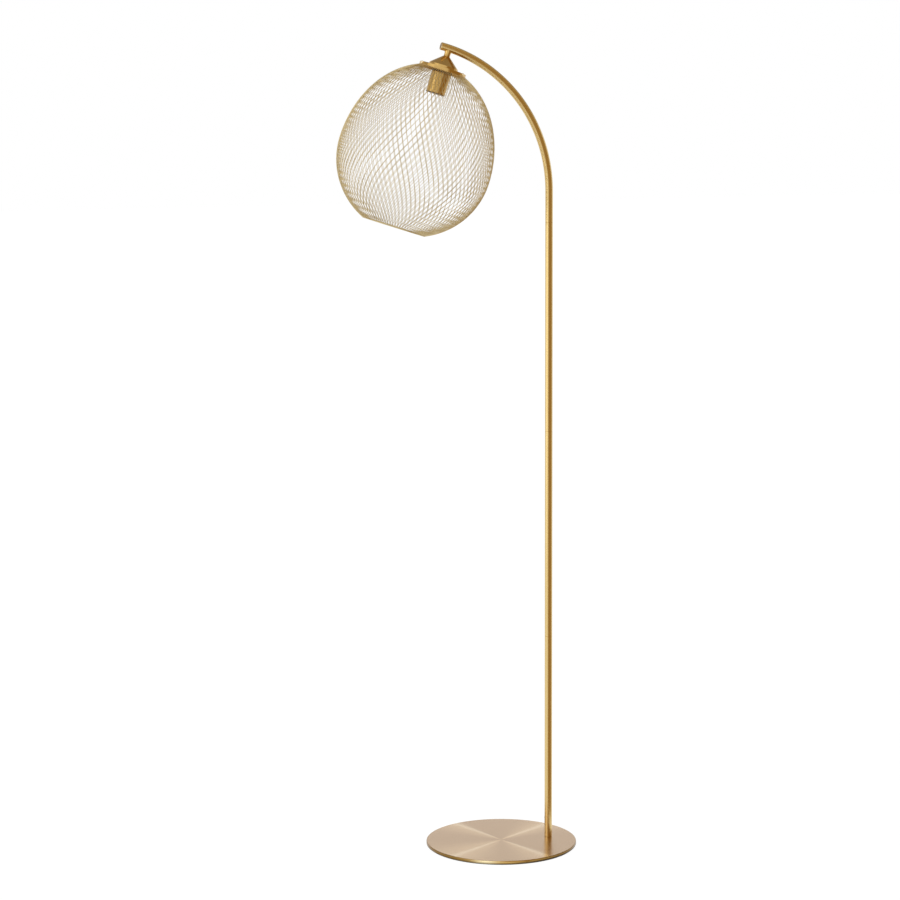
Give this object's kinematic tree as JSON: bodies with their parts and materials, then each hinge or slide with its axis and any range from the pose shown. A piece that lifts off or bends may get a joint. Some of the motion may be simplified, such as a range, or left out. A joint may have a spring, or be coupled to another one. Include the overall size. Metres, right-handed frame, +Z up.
{
  "type": "floor lamp",
  "caption": "Floor lamp with a round base, a slim arched pole and a rounded open shade of fine crossed wires hung round its lampholder.",
  "frame": {"origin": "centre of the round base, at the underside of its pad, on the floor", "axes": "+Z up; +X from the base's centre towards the pole's foot; the arm arches over towards -X in the XZ plane, and the shade hangs on the -X side"},
  "size_m": [0.4711, 0.3007, 1.5931],
  "materials": {
    "satin_brass": "satin gold, lightly drawn along the tube",
    "brushed_gold": "champagne gold, brushed",
    "polished_brass": "polished gold",
    "gold_wire": "pale gold plated wire",
    "turned_brass": "bare turned brass",
    "plated_steel": "zinc plated",
    "nickel_shell": "nickel plated sheet",
    "bare_copper": "bare stranded copper",
    "white_ceramic": "glazed white",
    "black_plastic": "matte black",
    "washer_nylon": "natural nylon",
    "flex_jacket": "smooth gold-coloured sheath",
    "black_rubber": "matte black",
    "pad_rubber": "soft foamed pad"
  },
  "bodies": {
    "lamp_stand": {"base_plate": "brushed_gold", "base_pad": "pad_rubber", "base_screw": "plated_steel", "foot_plug": "turned_brass", "lower_tube": "satin_brass", "middle_tube": "satin_brass", "upper_tube": "satin_brass", "cable_grommet": "black_rubber", "lower_joint_bushes": "turned_brass", "middle_joint_bushes": "turned_brass", "upper_joint_bushes": "turned_brass", "lower_joint_stud": "plated_steel", "middle_joint_stud": "plated_steel", "upper_joint_stud": "plated_steel", "arm_tube": "satin_brass", "arm_end_plug": "satin_brass", "internal_flex": "flex_jacket", "neck_socket": "satin_brass", "hollow_nipple": "plated_steel", "friction_washer": "washer_nylon", "lock_nut": "plated_steel"},
    "head": {"canopy": "polished_brass", "gallery_plate": "polished_brass", "cage_top_band": "polished_brass", "insulating_ring": "black_plastic", "lampholder_shell": "polished_brass", "socket_insert": "white_ceramic", "screw_shell": "nickel_shell", "centre_contact": "nickel_shell", "terminal_screws": "plated_steel", "lead_cores": "bare_copper", "cage_wires_inner": "gold_wire", "cage_wires_outer": "gold_wire", "cage_rim_ring": "gold_wire"},
    "edge_screw_1": {"edge_screw_1": "polished_brass"},
    "edge_screw_2": {"edge_screw_2": "polished_brass"},
    "edge_screw_3": {"edge_screw_3": "polished_brass"}
  },
  "joints": [
    {"name": "head_swivel", "type": "hinge", "parent": "lamp_stand", "child": "head", "pos_m": [-0.10611, 0, 1.56674], "axis": [0.3123, 0, 0.95], "range_deg": [-150, 150]},
    {"name": "edge_screw_1_turn", "type": "hinge", "parent": "head", "child": "edge_screw_1", "pos_m": [-0.08393, -0.03309, 1.53187], "axis": [0.6599, -0.7193, -0.217], "continuous": true},
    {"name": "edge_screw_2_turn", "type": "hinge", "parent": "head", "child": "edge_screw_2", "pos_m": [-0.15669, -0.01113, 1.55579], "axis": [-0.9218, -0.2419, 0.3031], "continuous": true},
    {"name": "edge_screw_3_turn", "type": "hinge", "parent": "head", "child": "edge_screw_3", "pos_m": [-0.10225, 0.04422, 1.53789], "axis": [0.2618, 0.9613, -0.0861], "continuous": true}
  ]
}
